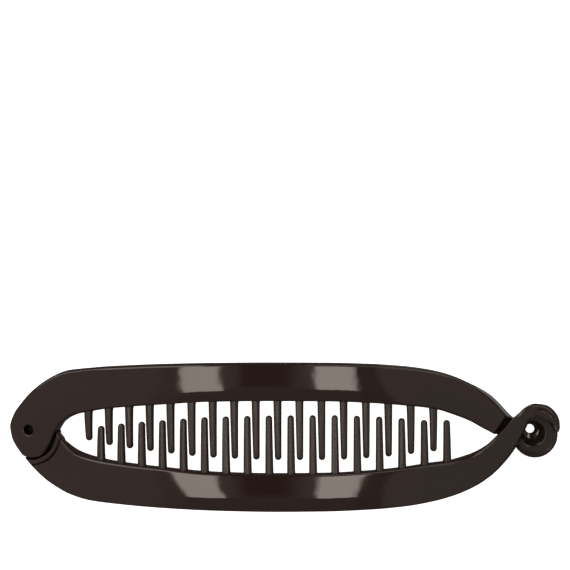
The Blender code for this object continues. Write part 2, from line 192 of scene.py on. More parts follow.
BAND_RIBS = (
    (-55.6, 16.8, -54.3, 4.95, 0.0, 5.7),
    (-49.5, 17.95, -49.0, 6.4, 0.0, 5.3),
    (-42.0, 18.55, -42.0, 7.35, 0.0, 5.2),
    (-30.0, 19.2, -30.0, 8.4, 0.0, 5.2),
    (-15.0, 19.65, -15.0, 9.4, 0.0, 5.2),
    (0.0, 19.8, 0.0, 9.65, 0.0, 5.2),
    (15.0, 19.7, 15.0, 9.55, 0.0, 5.2),
    (27.0, 19.3, 27.0, 9.0, 0.0, 5.2),
    (36.0, 18.6, 36.0, 8.2, 0.0, 5.2),
    (43.5, 17.4, 43.2, 7.25, 0.0, 5.2),
)

# The upper arm steps down, passes under the lower one, and ends in the clasp's ring.
UPPER_END_RIBS = (
    (49.5, 15.6, 48.4, 5.7, 0.0, 5.3),
    (54.3, 12.8, 52.6, 3.8, 0.0, 5.8),
    (58.3, 9.5, 56.0, 1.65, 0.0, 6.5),
    (62.1, 5.05, 58.6, 0.05, -0.25, 7.0),
    (62.85, 4.2, 59.15, -0.45, -4.4, 3.5),
    (64.6, 2.8, 61.3, -2.3, -5.1, 3.3),
    (66.9, 2.2, 63.9, -3.8, -5.2, 3.2),
)

# The lower arm rises over it, and ends in the clasp's hook.
LOWER_END_RIBS = (
    (49.5, 15.75, 48.2, 6.7, 0.0, 5.2),
    (54.4, 13.5, 52.8, 5.25, 0.2, 4.9),
    (58.2, 10.8, 56.2, 3.2, 0.5, 4.4),
    (61.2, 7.8, 59.1, 0.6, 0.6, 4.0),
    (63.5, 4.9, 61.3, -1.6, 0.4, 4.0),
    (65.2, 2.0, 63.3, -3.9, 0.1, 4.1),
    (66.8, -1.2, 65.0, -5.35, 0.0, 4.2),
)

# The hook's ribs turn clockwise about its own centre: the angle of each in degrees, its inner
# radius and its depth.
HookRib = namedtuple("HookRib", "angle inner_radius depth")
HOOK_RIBS = (
    (124.0, 2.6, 4.5),
    (98.0, 2.05, 4.7),
    (68.0, 1.95, 4.7),
    (42.0, 2.05, 4.7),
    (24.0, 2.9, 4.7),
    (9.0, 4.2, 4.7),
    (-5.0, 4.75, 4.7),
    (-17.0, 5.35, 4.7),
)

# A corner of a turned outline, which its fillet rounds
Corner = namedtuple("Corner", "radius height fillet")

# The clasp's ring, from its underside round the outside and down into the dished hole
RING_CORNERS = (
    (5.55, 0.0, 0.0),
    (6.0, 0.45, 0.2),
    (6.0, 3.0, 0.9),
    (3.45, 3.0, 0.35),
    (2.2, 1.1, 0.5),
    (1.2, 0.8, 0.15),
    (1.2, 0.0, 0.0),
)

# The hole lies off the ring's centre by HOLE_SLIP. Above and inside the ring's foot, a circle
# slips that way by a share that grows as its radius shrinks.
Slip = namedtuple("Slip", "radius share")
HOLE_SLIPS = ((1.2, 1.0), (1.65, 0.9), (2.3, 0.65), (3.3, 0.4), (3.65, 0.36), (5.1, 0.0))
HOLE_SLIP = (-1.45, 1.65)
RING_FOOT_HEIGHT = 0.75

# The pin, from the middle of its head's underside up to the middle of its top
PIN_CORNERS = (
    (PIN_AXIS_RADIUS, 0.0, 0.0),
    (PIN_HEAD_RADIUS, 0.0, PIN_HEAD_FILLET),
    (PIN_HEAD_RADIUS, PIN_HEAD_HEIGHT, PIN_HEAD_BACK_FILLET),
    (PIN_RADIUS, PIN_HEAD_HEIGHT, PIN_SHOULDER_FILLET),
    (PIN_RADIUS, PIN_TOP, PIN_POINT_FILLET),
    (PIN_AXIS_RADIUS, PIN_TOP, 0.0),
)

# A moulded plastic's finish: its two close tones, the range of its roughness, how strongly it
# mirrors at right angles, and the depth of the milling lines against that of the skin's waves.
Finish = namedtuple("Finish", "dark light smoothest roughest specular line_depth")
POLISHED_STYRENE = Finish("#1f1512", "#231815", 0.035, 0.06, 0.5, 0.0)
UNPOLISHED_STYRENE = Finish("#1f1512", "#231815", 0.26, 0.34, 0.5, 2.5)
# The pin is a black part, but it is made nearly black and nearly without gloss as painted shade, so
# that its hole looks dark and shows no glint.
BLACK_PIN_WITH_PAINTED_SHADE = Finish("#020101", "#040202", 0.55, 0.65, 0.1, 0.0)
PLASTIC_IOR = 1.55

# Sizes of the marks in the plastic. The milling lines and the waves are drawn a little deeper
# than they are, so that they show.
FLOW_MARK_LENGTH = 25.0
FLOW_MARK_WIDTH = 4.0
HAZE_PATCH = 12.5
SKIN_WAVES_PER_METRE = 330.0
SKIN_WAVE_DEPTH = 0.012
MILLING_LINE_SPACING = 0.66

# The camera, a long lens fitted to the photograph. Angles are in degrees. The picture's width,
# the focal length and the target's offset from the picture's middle are in its pixels.
CAMERA_TARGET = (-1.21, 0.41, 22.3)
CAMERA_DISTANCE = 1100.0
CAMERA_TOWARDS_CLASP = 8.553
CAMERA_TOWARDS_UPPER_ARM = 5.561
CAMERA_ROLL = -0.6615
SENSOR_WIDTH = 36.0
PICTURE_WIDTH = 570
FOCAL_PIXELS = 4159.0
TARGET_LEFT_OF_CENTRE = 17.0
TARGET_BELOW_CENTRE = 151.9

# The lights, in metres: the direction that each stands in, seen from the clip's top, its
# distance, its sizes, the brightness and colour of its face, and the share of its width that
# fades out at either side
Softbox = namedtuple("Softbox", "name towards distance width length radiance colour soft_edge")
WARM = (1.0, 0.9, 0.79)
NEUTRAL = (1.0, 0.97, 0.9)
WHITE = (1.0, 1.0, 1.0)
SOFTBOXES = (
    ("key_over_hinge", (-0.452, 0.155, 1.0), 1.0, 0.188, 0.8, 4.0, WARM, 0.16),
    ("key_over_clasp", (0.105, 0.145, 1.0), 2.0, 0.367, 1.56, 4.25, WARM, 0.16),
    ("far_left", (-0.55, 0.6, 0.58), 1.5, 0.6, 0.6, 2.2, NEUTRAL, 0.0),
    ("far_right", (0.45, 0.62, 0.65), 1.5, 0.6, 0.6, 0.8, NEUTRAL, 0.0),
    ("far_strip_left", (-1.0, 1.0, 0.28), 1.6, 1.5, 0.6, 1.9, NEUTRAL, 0.0),
    ("far_strip_right", (0.45, 1.0, 0.22), 1.6, 1.6, 0.6, 1.2, NEUTRAL, 0.0),
)
BROAD_FILL = ("broad_fill", (0.0, 0.0, 1.0), 1.9, 3.0, 3.0, 0.75, WHITE, 0.0)

# Small lit cards that only the gloss shows: each card's middle, its turn in plan in degrees,
# its sizes and its brightness
Card = namedtuple("Card", "name middle turn size brightness")
REFLECTION_CARDS = (
    ("card_over_clasp", (72.0, -3.0, 60.0), 0.0, (32.0, 22.0), 0.36),
    ("card_under_shoulder", (59.0, 11.5, 0.4), -45.0, (16.0, 6.0), 0.24),
    ("card_before_shoulder", (47.5, 18.6, 0.4), -25.0, (12.0, 5.0), 0.2),
    ("card_by_upper_arm", (34.5, 22.0, 0.4), -9.0, (16.0, 4.5), 0.12),
)
CARD_COLOUR = (1.0, 0.95, 0.88, 1.0)

# Dark stretches of the studio overhead, by the direction's X and Y. Each edge is a pair: where
# the darkness starts, and where it is full. They leave dark gaps between the keys' reflections.
Darkness = namedtuple("Darkness", "left right near depth")
SKY_DARKNESS = (
    ((-0.29, -0.215), (0.0, -0.11), (-0.36, -0.08), 1.0),
    ((-0.47, -0.42), (0.26, 0.20), (-0.14, -0.24), 0.5),
    ((-0.54, -0.49), (-0.38, -0.43), None, 0.3),
    ((0.12, 0.17), (0.268, 0.236), None, 0.68),
)

# The rest of the studio: the heights over which it brightens, by the direction's Z, how bright
# it is below and above them, and where its colour changes from the first to the second, by X
SKY_HORIZON = (-0.05, 0.2)
SKY_BRIGHTNESS = (0.04, 0.4)
SKY_COLOUR_CHANGE = (0.10, 0.17)
SKY_COLOURS = ((1.0, 0.84, 0.785, 1.0), (1.0, 0.9, 0.84, 1.0))

# The light table's size in metres, and how brightly it glows
FLOOR_SIZE = 6.0
FLOOR_GLOW = 0.9


# The clip's form

def ease(t):
    """Rises smoothly from 0 to 1 as t does, and stays there."""
    t = min(max(t, 0.0), 1.0)
    return t * t * (3 - 2 * t)


def face_height(x):
    """Height of the face: an arch that runs on straight to the hinge, and level over the clasp."""
    turn_x = max(x, ARCH_START_X)
    rise = math.sqrt(ARCH_RADIUS ** 2 - turn_x ** 2)
    arch = ARCH_TOP - ARCH_RADIUS + rise - (x - turn_x) * turn_x / rise
    if x < 0:
        return arch
    above = (arch - LANDING_HEIGHT) / LANDING_BLEND
    return LANDING_HEIGHT + LANDING_BLEND * math.log1p(math.exp(above))


def face_lean(x):
    """The slope that a cross-section leans with: the arch's, fading to upright at the ends."""
    step = 0.01
    slope = (face_height(x + step) - face_height(x - step)) / (2 * step)
    return slope * (1 - ease((abs(x) - UPRIGHT_START) / UPRIGHT_LENGTH))


def on_arch(x, y, n):
    """A point n above the face at x, y in plan, square to the arch but upright at the ends."""
    lean = face_lean(x)
    length = math.hypot(lean, 1.0)
    return (x - n * lean / length, y, face_height(x) + n / length)


def midline(x):
    """The clip's midline in plan, which bends a little to meet the hinge pin."""
    return PIN_Y * ease((MIDLINE_BEND_START - x) / MIDLINE_BEND_LENGTH)


def smooth_column(knots, values, t):
    """A smooth curve through the values at the knots, with no overshoot between them."""
    last = len(knots) - 2
    i = max(k for k in range(last + 1) if knots[k] <= t or k == 0)

    def chord(k):
        return (values[k + 1] - values[k]) / (knots[k + 1] - knots[k])

    def slope(k):
        if k == 0:
            return chord(0)
        if k == last + 1:
            return chord(last)
        before, after = chord(k - 1), chord(k)
        if before * after <= 0:
            return 0.0
        return 2 * before * after / (before + after)

    span = knots[i + 1] - knots[i]
    u = (t - knots[i]) / span
    a, b = values[i], values[i + 1]
    return (a * (1 + 2 * u) * (1 - u) ** 2 + b * u * u * (3 - 2 * u)
            + span * u * (1 - u) * (slope(i) * (1 - u) - slope(i + 1) * u))


def hook_ribs():
    """The hook's ribs in plan, as rows of the same columns as an arm's."""
    rows = []
    centre = Vector(HOOK_CENTRE)
    for hook_rib in map(HookRib._make, HOOK_RIBS):
        turn = math.radians(hook_rib.angle)
        ray = Vector((math.cos(turn), math.sin(turn)))
        inside = centre + ray * hook_rib.inner_radius
        outside = centre + ray * HOOK_RADIUS
        rows.append((inside.x, -inside.y, outside.x, -outside.y, 0.0, hook_rib.depth))
    return tuple(rows)


def depth_to_floor(rib):
    """The depth of the lower arm, whose back runs down to the floor towards the hinge."""
    middle_x = (rib.outer_x + rib.inner_x) / 2
    down = ease((FLOOR_END_X + FLOOR_RISE_LENGTH - middle_x) / FLOOR_RISE_LENGTH)
    return rib.depth + down * (face_height(middle_x) + BELOW_FLOOR - rib.depth)


class Arm:
    """One arm as a smooth run of ribs, each found by its place along the arm. No part of it lies
    below its floors, one for the hinge's half of the clip and one for the clasp's."""

    def __init__(self, rows, side, hinge_floor, clasp_floor):
        self.ribs = [Rib(*row) for row in rows]
        self.side = side
        self.hinge_floor = hinge_floor
        self.clasp_floor = clasp_floor
        self.knots = [0.0]
        for before, after in zip(self.ribs, self.ribs[1:]):
            along_x = (after.outer_x + after.inner_x - before.outer_x - before.inner_x) / 2
            along_y = (after.outer_y + after.inner_y - before.outer_y - before.inner_y) / 2
            self.knots.append(self.knots[-1] + math.hypot(along_x, along_y))
        self.length = self.knots[-1]

    def rib(self, place):
        """The rib at a place, with Y put on the arm's own side."""
        rib = Rib._make(smooth_column(self.knots, column, place) for column in zip(*self.ribs))
        rib = rib._replace(
            outer_y=midline(rib.outer_x) + self.side * rib.outer_y,
            inner_y=midline(rib.inner_x) + self.side * rib.inner_y,
        )
        if self.side < 0:
            rib = rib._replace(depth=depth_to_floor(rib))
        return rib

    def inner_edge(self, x):
        """Y of the inner edge at a place along the clip."""
        places = np.linspace(0.0, self.length, EDGE_SAMPLES)
        for before, after in zip(map(self.rib, places), map(self.rib, places[1:])):
            if before.inner_x <= x <= after.inner_x:
                part = (x - before.inner_x) / (after.inner_x - before.inner_x)
                return before.inner_y + part * (after.inner_y - before.inner_y)
        raise ValueError("no inner edge at this place")

    def section(self, place, inset=0.0):
        """The closed cross-section at a place, from the face's middle round the outer side."""
        rib = self.rib(place)
        outer = Vector((rib.outer_x, rib.outer_y))
        inner = Vector((rib.inner_x, rib.inner_y))
        middle = (outer + inner) / 2
        half = (outer - inner).length / 2
        across = (outer - inner).normalized()
        sides = []
        for edge_x, sign, foot in ((rib.outer_x, 1, half), (rib.inner_x, -1, half - rib.inner_foot)):
            floor = self.hinge_floor if edge_x < 0 else self.clasp_floor
            depth = min(rib.depth, face_height(edge_x) + rib.lift - floor)
            sides.append([(sign * offset, n) for offset, n in side_profile(half, foot, depth, inset)])
        outer_side, inner_side = sides
        profile = [(0.0, -inset)] + outer_side + inner_side[::-1]
        points = []
        for offset, n in profile:
            spot = middle + across * offset
            x, y, z = on_arch(spot.x, spot.y, n + rib.lift)
            floor = self.hinge_floor if spot.x < 0 else self.clasp_floor
            points.append((x, y, max(z, floor)))
        return points


def side_profile(half, foot, depth, inset):
    """One side of a cross-section: crowned face, edge fillet, wall down to its foot, and back."""
    rounding = min(1.0, half / FULL_ROUNDING_HALF_WIDTH)
    fillet = EDGE_FILLET * rounding
    back_fillet = BACK_FILLET * rounding
    crown = CROWN * min(1.0, half / FULL_CROWN_HALF_WIDTH)
    wall = half - WALL_DRAFT * rounding
    start = math.atan(2 * crown / (wall - fillet))
    centre = (wall - fillet, -crown - fillet)
    face_half = centre[0] + fillet * math.sin(start)
    face_drop = crown + fillet * (1 - math.cos(start))
    points = [(face_half * i / FACE_STEPS, -face_drop * (i / FACE_STEPS) ** 2)
              for i in range(1, FACE_STEPS + 1)]
    draft = math.atan((foot - wall) / (depth - back_fillet - crown - fillet))
    end = math.pi / 2 - draft
    for i in range(1, EDGE_STEPS + 1):
        turn = start + (end - start) * i / EDGE_STEPS
        points.append((centre[0] + fillet * math.sin(turn), centre[1] + fillet * math.cos(turn)))
    top = points[-1]
    bottom = (foot, back_fillet - depth)
    for i in range(1, WALL_STEPS + 1):
        part = i / WALL_STEPS
        points.append((top[0] + (bottom[0] - top[0]) * part, top[1] + (bottom[1] - top[1]) * part))
    for i in range(1, BACK_FILLET_STEPS + 1):
        turn = math.pi / 2 * i / BACK_FILLET_STEPS
        points.append((foot - back_fillet * (1 - math.cos(turn)),
                       back_fillet * (1 - math.sin(turn)) - depth))
    last = points[-1][0]
    points += [(last * (1 - i / (BACK_STEPS + 1)), -depth) for i in range(1, BACK_STEPS + 1)]
    narrower = (half - inset) / half
    lower = (depth - 2 * inset) / depth
    return [(offset * narrower, n * lower - inset) for offset, n in points]


def end_rows(arm, at_end):
    """The rounded rows of an arm's blunt end, from the full section to the inset last one."""
    rows = []
    for i in range(END_STEPS + 1):
        turn = math.pi / 2 * i / END_STEPS
        back = END_FILLET * (1 - math.sin(turn))
        place = arm.length - back if at_end else back
        rows.append(arm.section(place, END_FILLET * (1 - math.cos(turn))))
    return rows if at_end else rows[::-1]


def even_rows(arm, start, end, spacing):
    """Sections at even steps from just after one place of an arm up to another."""
    count = math.ceil((end - start) / spacing)
    return [arm.section(start + (end - start) * i / count) for i in range(1, count + 1)]


def band_and_end_rows(arm):
    """Sections from the end of the hinge to the clasp, closer together on the clasp's bends."""
    clasp_start = arm.knots[len(LUG_RIBS) + len(BAND_RIBS)]
    rows = even_rows(arm, arm.knots[len(LUG_RIBS)], clasp_start, ROW_SPACING)
    rows += even_rows(arm, clasp_start, arm.length - END_FILLET, ROW_SPACING_ROUND_ENDS)
    return rows[:-1] + end_rows(arm, True)


# Meshes

def object_from(name, shape):
    """An object at the origin from a bmesh in millimetres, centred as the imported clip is."""
    bmesh.ops.remove_doubles(shape, verts=shape.verts, dist=MERGE_DISTANCE)
    bmesh.ops.dissolve_degenerate(shape, edges=shape.edges, dist=MERGE_DISTANCE)
    bmesh.ops.recalc_face_normals(shape, faces=shape.faces)
    bmesh.ops.transform(
        shape, verts=shape.verts,
        matrix=Matrix.Diagonal((MM, MM, MM, 1.0)) @ Matrix.Translation((-CENTRE_X, 0.0, 0.0)),
    )
    mesh = bpy.data.meshes.new(name)
    shape.to_mesh(mesh)
    shape.free()
    piece = bpy.data.objects.new(name, mesh)
    bpy.context.scene.collection.objects.link(piece)
    return piece


def loft(name, sections, ring=False):
    """A closed solid through sections with equal numbers of points. It is capped at both ends,
    or runs on round to its start as a ring."""
    shape = bmesh.new()
    loops = [[shape.verts.new(point) for point in section] for section in sections]
    count = len(loops[0])
    pairs = list(zip(loops, loops[1:]))
    if ring:
        pairs.append((loops[-1], loops[0]))
    for a, b in pairs:
        for i in range(count):
            j = (i + 1) % count
            shape.faces.new((a[i], a[j], b[j], b[i]))
    if not ring:
        shape.faces.new(loops[0])
        shape.faces.new(loops[-1])
    return object_from(name, shape)


def circle(centre, radius, height):
    """The points of a circle; its height may be a number or a function of the place."""
    points = []
    for i in range(ROUND_SEGMENTS):
        turn = 2 * math.pi * i / ROUND_SEGMENTS
        x = centre[0] + radius * math.cos(turn)
        z = height(x) if callable(height) else height
        points.append((x, centre[1] + radius * math.sin(turn), z))
    return points


def rounded_path(rows):
    """A path of (radius, height) through corners, each rounded by its own fillet."""
    corners = [Corner(*row) for row in rows]
    spots = [Vector((corner.radius, corner.height)) for corner in corners]
    path = []
    for i, (here, corner) in enumerate(zip(spots, corners)):
        if corner.fillet == 0.0:
            path.append(here)
            continue
        back = (spots[i - 1] - here).normalized()
        on = (spots[i + 1] - here).normalized()
        half_angle = back.angle(on) / 2
        reach = corner.fillet / math.tan(half_angle)
        centre = here + (back + on).normalized() * (corner.fillet / math.sin(half_angle))
        first = here + back * reach - centre
        last = here + on * reach - centre
        for k in range(CORNER_STEPS + 1):
            path.append(centre + first.lerp(last, k / CORNER_STEPS).normalized() * corner.fillet)
    return path


def finish_shading(piece):
    """Smooth faces, with the real edges kept crisp."""
    piece.data.shade_smooth()
    piece.data.set_sharp_from_angle(angle=math.radians(SHARP_EDGE_ANGLE))


def cut(target, tool):
    """Cuts the target with the tool, and removes the tool."""
    modifier = target.modifiers.new("cut", "BOOLEAN")
    modifier.operation = "DIFFERENCE"
    modifier.solver = "EXACT"
    modifier.object = tool
    bpy.context.view_layer.update()
    evaluated = target.evaluated_get(bpy.context.evaluated_depsgraph_get())
    result = bpy.data.meshes.new_from_object(evaluated)
    target.modifiers.remove(modifier)
    previous = target.data
    target.data = result
    bpy.data.meshes.remove(previous)
    tool_mesh = tool.data
    bpy.data.objects.remove(tool)
    bpy.data.meshes.remove(tool_mesh)


# The arms

def upper_band(arm):
    """The upper arm's lug and band, with the pin hole and its rounded lead-in."""
    rows = end_rows(arm, False)
    rows += even_rows(arm, END_FILLET, arm.knots[len(LUG_RIBS)], ROW_SPACING_ROUND_ENDS)
    band = loft("upper_band", rows + band_and_end_rows(arm))
    sections = [circle(PIN_PLACE, HOLE_RADIUS, LUG_BOTTOM - CUT_PAST)]
    for i in range(HOLE_LEAD_IN_STEPS + 1):
        turn = math.pi / 2 * i / HOLE_LEAD_IN_STEPS
        radius = HOLE_RADIUS + HOLE_LEAD_IN * (1 - math.cos(turn))
        below = HOLE_LEAD_IN * (1 - math.sin(turn))
        sections.append(circle(PIN_PLACE, radius, lambda x: face_height(x) - below))
    top = face_height(PIN_X) + LUG_CUT_PAST
    sections.append(circle(PIN_PLACE, HOLE_RADIUS + HOLE_LEAD_IN, top))
    cut(band, loft("pin_hole", sections))
    return band


def pocket_gap(x, y):
    """Distance from the pin, made up to a true circle where the pocket is drawn in."""
    turn = math.degrees(math.atan2(y - PIN_Y, x - PIN_X))
    share = 1 - POCKET_DRAWN_IN * ease((DRAWN_IN_FROM - turn) / DRAWN_IN_OVER)
    return math.hypot(x - PIN_X, y - PIN_Y) / share


class PocketGrid:
    """The lower arm's hinge end as a fine grid. Each point of the arm's section draws a line
    along it, and a loop about the pin crosses a line where its distance from the pin says."""

    def __init__(self, arm, end):
        self.places = np.linspace(0.0, end, POCKET_SAMPLES)
        self.points = np.array([arm.section(place) for place in self.places])
        self.gap = np.array([[pocket_gap(x, y) for x, y, _ in section] for section in self.points])
        self.past_pin = int(np.searchsorted(self.places, arm.knots[RIB_AT_PIN]))

    def at_radius(self, radius):
        """The place along each line where it crosses a loop about the pin."""
        gaps = self.gap[self.past_pin:]
        places = self.places[self.past_pin:]
        return np.array([np.interp(radius, gaps[:, k], places) for k in range(SECTION_POINTS)])

    def row(self, row_places, ceiling=None):
        """A row of points, one on each line, kept below a ceiling: heights, or a function of X."""
        row = np.array([[np.interp(row_places[k], self.places, self.points[:, k, axis])
                         for axis in range(3)] for k in range(SECTION_POINTS)])
        if callable(ceiling):
            ceiling = np.array([ceiling(x) for x in row[:, 0]])
        if ceiling is not None:
            row[:, 2] = np.minimum(row[:, 2], ceiling)
        return row

    def loop(self, radius, ceiling):
        """A row at one distance from the pin."""
        return self.row(self.at_radius(radius), ceiling)


def ledge_height(x):
    """Height of the ledge round the pocket."""
    return face_height(x) - LEDGE_DROP


def tongue_rows(arm, grid):
    """The tongue's blunt end, and its flat top up to the fillet at the pocket's wall."""
    rows = [[(x, y, min(z, TONGUE_TOP)) for x, y, z in section] for section in end_rows(arm, False)]
    floor_edge = grid.at_radius(POCKET_RADIUS - POCKET_FLOOR_FILLET)
    for i in range(1, TONGUE_ROWS + 1):
        places = END_FILLET + (floor_edge - END_FILLET) * i / TONGUE_ROWS
        rows.append(grid.row(places, lambda x: TONGUE_TOP))
    return rows


def pocket_rows(grid):
    """The pocket's wall: a hollow fillet at its foot, an upright run, and a rounded rim."""
    rows = []
    for i in range(1, FLOOR_FILLET_ROWS + 1):
        turn = math.pi / 2 * i / FLOOR_FILLET_ROWS
        rise = POCKET_FLOOR_FILLET * (1 - math.cos(turn))
        radius = POCKET_RADIUS - POCKET_FLOOR_FILLET * (1 - math.sin(turn))
        rows.append(grid.loop(radius, lambda x: TONGUE_TOP + rise))
    foot = TONGUE_TOP + POCKET_FLOOR_FILLET
    top = grid.loop(POCKET_RADIUS, lambda x: ledge_height(x) - POCKET_RIM_FILLET)[:, 2]
    for i in range(1, WALL_ROWS + 1):
        rows.append(grid.loop(POCKET_RADIUS, foot + np.maximum(top - foot, 0.0) * i / WALL_ROWS))
    for i in range(1, RIM_ROWS + 1):
        turn = math.pi / 2 * i / RIM_ROWS
        below = POCKET_RIM_FILLET * (1 - math.sin(turn))
        radius = POCKET_RADIUS + POCKET_RIM_FILLET * (1 - math.cos(turn))
        rows.append(grid.loop(radius, lambda x: ledge_height(x) - below))
    return rows


def ledge_rows(grid):
    """The ledge round the pocket, a fine groove at its outer edge, and the step up to the face."""
    rows = []
    ledge_start = POCKET_RADIUS + POCKET_RIM_FILLET
    step_start = LEDGE_RADIUS - LEDGE_STEP_WIDTH
    groove_start = step_start - LEDGE_GROOVE_WIDTH
    for i in range(1, LEDGE_ROWS + 1):
        radius = ledge_start + (groove_start - ledge_start) * i / LEDGE_ROWS
        rows.append(grid.loop(radius, ledge_height))
    for i in range(1, GROOVE_ROWS + 1):
        part = i / GROOVE_ROWS
        below = LEDGE_GROOVE_DEPTH * ease(part)
        radius = groove_start + LEDGE_GROOVE_WIDTH * part
        rows.append(grid.loop(radius, lambda x: ledge_height(x) - below))
    for i in range(1, STEP_ROWS + 1):
        part = i / STEP_ROWS
        above = (LEDGE_DROP + LEDGE_GROOVE_DEPTH) * part - LEDGE_GROOVE_DEPTH
        radius = step_start + LEDGE_STEP_WIDTH * part
        rows.append(grid.loop(radius, lambda x: ledge_height(x) + above))
    return rows


def lower_band(arm):
    """The lower arm's tongue, band and hook. The lug turns in a round pocket over the tongue,
    and a narrow ledge runs round the pocket, a little below the face and along it."""
    hinge_end = arm.knots[len(TONGUE_RIBS)]
    grid = PocketGrid(arm, hinge_end)
    rows = tongue_rows(arm, grid) + pocket_rows(grid) + ledge_rows(grid)
    rim_edge = grid.at_radius(LEDGE_RADIUS)
    for i in range(1, BAND_START_ROWS + 1):
        rows.append(grid.row(rim_edge + (hinge_end - rim_edge) * i / BAND_START_ROWS))
    band = loft("lower_band", rows + band_and_end_rows(arm))
    head_radius = PIN_HEAD_RADIUS + PIN_HEAD_CLEARANCE
    head_top = PIN_HEAD_HEIGHT + PIN_HEAD_CLEARANCE
    cut(band, loft("tongue_hole", [
        circle(PIN_PLACE, head_radius, -CUT_PAST),
        circle(PIN_PLACE, head_radius, head_top),
        circle(PIN_PLACE, HOLE_RADIUS, head_top),
        circle(PIN_PLACE, HOLE_RADIUS, TONGUE_TOP + CUT_PAST),
    ]))
    return band


def clasp_ring():
    """The upper arm's end: a flat ring with rounded edges and a dished hole, off centre."""
    slips = [Slip(*row) for row in HOLE_SLIPS]
    radii = [slip.radius for slip in slips]
    shares = [slip.share for slip in slips]
    circles = []
    for radius, height in rounded_path(RING_CORNERS):
        slipping = height > RING_FOOT_HEIGHT or radius < radii[-1]
        share = float(np.interp(radius, radii, shares)) if slipping else 0.0
        centre = Vector(RING_CENTRE) + Vector(HOLE_SLIP) * share
        circles.append(circle(centre, radius, height))
    return loft("clasp_ring", circles, ring=True)


def pin():
    """The hinge pin, with its head let into the tongue's underside."""
    path = rounded_path(PIN_CORNERS)
    return loft("pin", [circle(PIN_PLACE, radius, height) for radius, height in path])


# Node trees

def add_node(tree, kind, settings=None, inputs=None):
    """Adds a node with its settings. Each input takes a value, the socket that it is linked to,
    or a node, to whose first output it is linked."""
    node = tree.nodes.new(kind)
    for name, value in (settings or {}).items():
        setattr(node, name, value)
    for key, value in (inputs or {}).items():
        if isinstance(value, bpy.types.Node):
            value = value.outputs[0]
        if isinstance(value, bpy.types.NodeSocket):
            tree.links.new(value, node.inputs[key])
        else:
            node.inputs[key].default_value = value
    return node


def tooth_tree():
    """Sweeps each tooth along its own path: a flared root, an even taper and a domed tip."""
    tree = bpy.data.node_groups.new("comb_teeth", "GeometryNodeTree")
    tree.interface.new_socket("Paths", in_out="INPUT", socket_type="NodeSocketGeometry")
    for name in ("Root Width", "Tip Width", "Thickness", "Edge Radius", "Flare", "Flare Length"):
        tree.interface.new_socket(name, in_out="INPUT", socket_type="NodeSocketFloat")
    tree.interface.new_socket("Material", in_out="INPUT", socket_type="NodeSocketMaterial")
    tree.interface.new_socket("Teeth", in_out="OUTPUT", socket_type="NodeSocketGeometry")
    sizes = add_node(tree, "NodeGroupInput").outputs
    from_root, from_tip, lean = (
        add_node(tree, "GeometryNodeInputNamedAttribute", {"data_type": "FLOAT"}, {"Name": name})
        for name in PATH_COLUMNS
    )

    # The width narrows evenly from root to tip, and flares a little where the tooth starts
    length = add_node(tree, "ShaderNodeMath", {"operation": "ADD"}, {0: from_root, 1: from_tip})
    reach = add_node(tree, "ShaderNodeMath", {"operation": "DIVIDE"}, {0: from_root, 1: length})
    taper = add_node(tree, "ShaderNodeMapRange", None, {
        "Value": reach, "To Min": sizes["Root Width"], "To Max": sizes["Tip Width"],
    })
    near_root = add_node(tree, "ShaderNodeMapRange", None, {
        "Value": from_root, "From Max": sizes["Flare Length"], "To Min": 1.0, "To Max": 0.0,
    })
    bend = add_node(tree, "ShaderNodeMath", {"operation": "MULTIPLY"}, {0: near_root, 1: near_root})
    width = add_node(tree, "ShaderNodeMath", {"operation": "MULTIPLY_ADD"},
                     {0: sizes["Flare"], 1: bend, 2: taper})

    # Over the last half width it shrinks to nothing as a circle does
    half_tip = add_node(tree, "ShaderNodeMath", {"operation": "MULTIPLY"},
                        {0: sizes["Tip Width"], 1: 0.5})
    near_tip = add_node(tree, "ShaderNodeMapRange", None, {
        "Value": from_tip, "From Max": half_tip, "To Min": 1.0, "To Max": 0.0,
    })
    squared = add_node(tree, "ShaderNodeMath", {"operation": "MULTIPLY"}, {0: near_tip, 1: near_tip})
    rest = add_node(tree, "ShaderNodeMath", {"operation": "SUBTRACT"}, {0: 1.0, 1: squared})
    dome = add_node(tree, "ShaderNodeMath", {"operation": "SQRT"}, {0: rest})
    scale = add_node(tree, "ShaderNodeMath", {"operation": "MULTIPLY"}, {0: width, 1: dome})

    # The section is a rounded rectangle one unit wide, which the width scales
    height = add_node(tree, "ShaderNodeMath", {"operation": "DIVIDE"},
                      {0: sizes["Thickness"], 1: sizes["Root Width"]})
    outline = add_node(tree, "GeometryNodeCurvePrimitiveQuadrilateral", None,
                       {"Width": 1.0, "Height": height})
    corner = add_node(tree, "ShaderNodeMath", {"operation": "DIVIDE"},
                      {0: sizes["Edge Radius"], 1: sizes["Root Width"]})
    section = add_node(tree, "GeometryNodeFilletCurve", {"mode": "POLY"},
                       {"Curve": outline, "Radius": corner, "Count": TOOTH_CORNER_STEPS})
    paths = add_node(tree, "GeometryNodeMeshToCurve", None, {"Mesh": sizes["Paths"]})
    upright = add_node(tree, "GeometryNodeSetCurveNormal", {"mode": "Z_UP"}, {"Curve": paths})
    leaning = add_node(tree, "GeometryNodeSetCurveTilt", None, {"Curve": upright, "Tilt": lean})
    swept = add_node(tree, "GeometryNodeCurveToMesh", None, {
        "Curve": leaning, "Profile Curve": section, "Scale": scale, "Fill Caps": True,
    })
    whole = add_node(tree, "GeometryNodeRealizeInstances", None, {"Geometry": swept})
    coloured = add_node(tree, "GeometryNodeSetMaterial", None,
                        {"Geometry": whole, "Material": sizes["Material"]})
    add_node(tree, "NodeGroupOutput", None, {"Teeth": coloured})
    return tree


